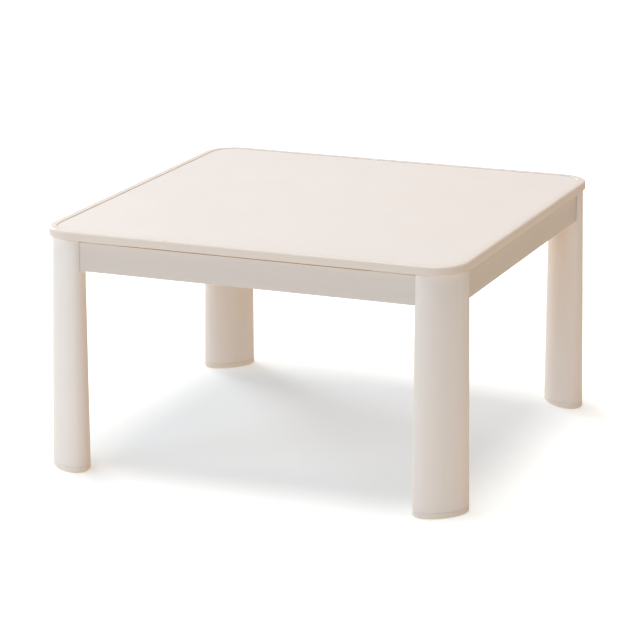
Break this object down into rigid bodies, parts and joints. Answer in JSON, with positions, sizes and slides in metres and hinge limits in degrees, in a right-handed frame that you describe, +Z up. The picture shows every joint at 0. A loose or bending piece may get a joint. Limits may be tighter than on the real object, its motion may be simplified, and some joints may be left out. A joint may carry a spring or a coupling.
{
  "type": "kotatsu table",
  "caption": "Low square heated table with a loose rounded top on a rail frame, oval legs clamped at the corners by hand knobs and a guarded radiant heater slung beneath.",
  "frame": {"origin": "on the floor, under the centre of the square top", "axes": "+Z up, +X to the right and -Y to the front of the table"},
  "size_m": [0.6882, 0.6882, 0.385],
  "materials": {
    "top_facing": "satin warm white decorative sheet",
    "fibreboard": "raw medium density fibreboard",
    "edge_band": "satin warm white moulded edge",
    "pad_rubber": "soft white foam strip",
    "rail_wrap": "satin warm white foil-wrapped board",
    "cross_rail_wood": "planed pale softwood",
    "dowel_beech": "fluted beech",
    "leg_wrap": "satin warm white lacquered wood",
    "foot_plastic": "fine-textured moulded plastic",
    "knob_plastic": "black moulded plastic",
    "zinc_steel": "bright zinc plated steel",
    "case_steel": "spangled galvanised sheet",
    "insulation_fibre": "pressed mineral fibre board",
    "bright_aluminium": "bright rolled sheet",
    "quartz_glass": "milky quartz",
    "heating_wire": "oxidised resistance wire",
    "white_ceramic": "unglazed steatite",
    "moulded_phenolic": "moulded thermoset",
    "contact_brass": "nickel-flashed brass",
    "wire_sleeve": "braided glass-fibre sleeve",
    "guard_paint": "satin heat-proof black enamel"
  },
  "bodies": {
    "frame": {"back_left_corner_bracket": "zinc_steel", "back_left_foot_cap": "foot_plastic", "back_left_leg": "leg_wrap", "back_rail": "rail_wrap", "back_right_corner_bracket": "zinc_steel", "back_right_foot_cap": "foot_plastic", "back_right_leg": "leg_wrap", "back_tube_holder": "zinc_steel", "bracket_screws": "zinc_steel", "ceramic_end_caps": "white_ceramic", "cross_rail_dowels": "dowel_beech", "foot_cap_screws": "zinc_steel", "front_left_corner_bracket": "zinc_steel", "front_left_foot_cap": "foot_plastic", "front_left_leg": "leg_wrap", "front_rail": "rail_wrap", "front_right_corner_bracket": "zinc_steel", "front_right_foot_cap": "foot_plastic", "front_right_leg": "leg_wrap", "front_tube_holder": "zinc_steel", "guard_frame": "guard_paint", "guard_grille": "guard_paint", "guard_screws": "zinc_steel", "heater_case": "case_steel", "heater_mount_screws": "zinc_steel", "insulation_board": "insulation_fibre", "lead_wires": "wire_sleeve", "left_cross_rail": "cross_rail_wood", "left_heating_coil": "heating_wire", "left_quartz_tube": "quartz_glass", "left_rail": "rail_wrap", "leg_bolts": "zinc_steel", "leg_washers": "zinc_steel", "power_inlet": "moulded_phenolic", "power_inlet_pins": "contact_brass", "reflector": "bright_aluminium", "right_cross_rail": "cross_rail_wood", "right_heating_coil": "heating_wire", "right_quartz_tube": "quartz_glass", "right_rail": "rail_wrap", "terminal_block": "moulded_phenolic", "terminal_screws": "contact_brass", "thermal_fuse": "moulded_phenolic", "thermostat": "moulded_phenolic", "top_rest_pads": "pad_rubber", "tube_holder_screws": "zinc_steel"},
    "tabletop": {"top_core_board": "fibreboard", "top_upper_facing": "top_facing", "top_lower_facing": "top_facing", "top_edge_band": "edge_band"},
    "front_left_knob": {"front_left_leg_knob": "knob_plastic", "front_left_leg_knob_nut": "zinc_steel"},
    "front_right_knob": {"front_right_leg_knob": "knob_plastic", "front_right_leg_knob_nut": "zinc_steel"},
    "back_right_knob": {"back_right_leg_knob": "knob_plastic", "back_right_leg_knob_nut": "zinc_steel"},
    "back_left_knob": {"back_left_leg_knob": "knob_plastic", "back_left_leg_knob_nut": "zinc_steel"}
  },
  "joints": [
    {"name": "tabletop_lift", "type": "slide", "parent": "frame", "child": "tabletop", "axis": [0, 0, 1], "range_m": [0, 0.25]},
    {"name": "front_left_knob_turn", "type": "hinge", "parent": "frame", "child": "front_left_knob", "pos_m": [-0.28004, -0.28004, 0.34555], "axis": [0.7071, 0.7071, 0], "continuous": true},
    {"name": "front_right_knob_turn", "type": "hinge", "parent": "frame", "child": "front_right_knob", "pos_m": [0.28004, -0.28004, 0.34555], "axis": [-0.7071, 0.7071, 0], "continuous": true},
    {"name": "back_right_knob_turn", "type": "hinge", "parent": "frame", "child": "back_right_knob", "pos_m": [0.28004, 0.28004, 0.34555], "axis": [-0.7071, -0.7071, 0], "continuous": true},
    {"name": "back_left_knob_turn", "type": "hinge", "parent": "frame", "child": "back_left_knob", "pos_m": [-0.28004, 0.28004, 0.34555], "axis": [0.7071, -0.7071, 0], "continuous": true}
  ]
}
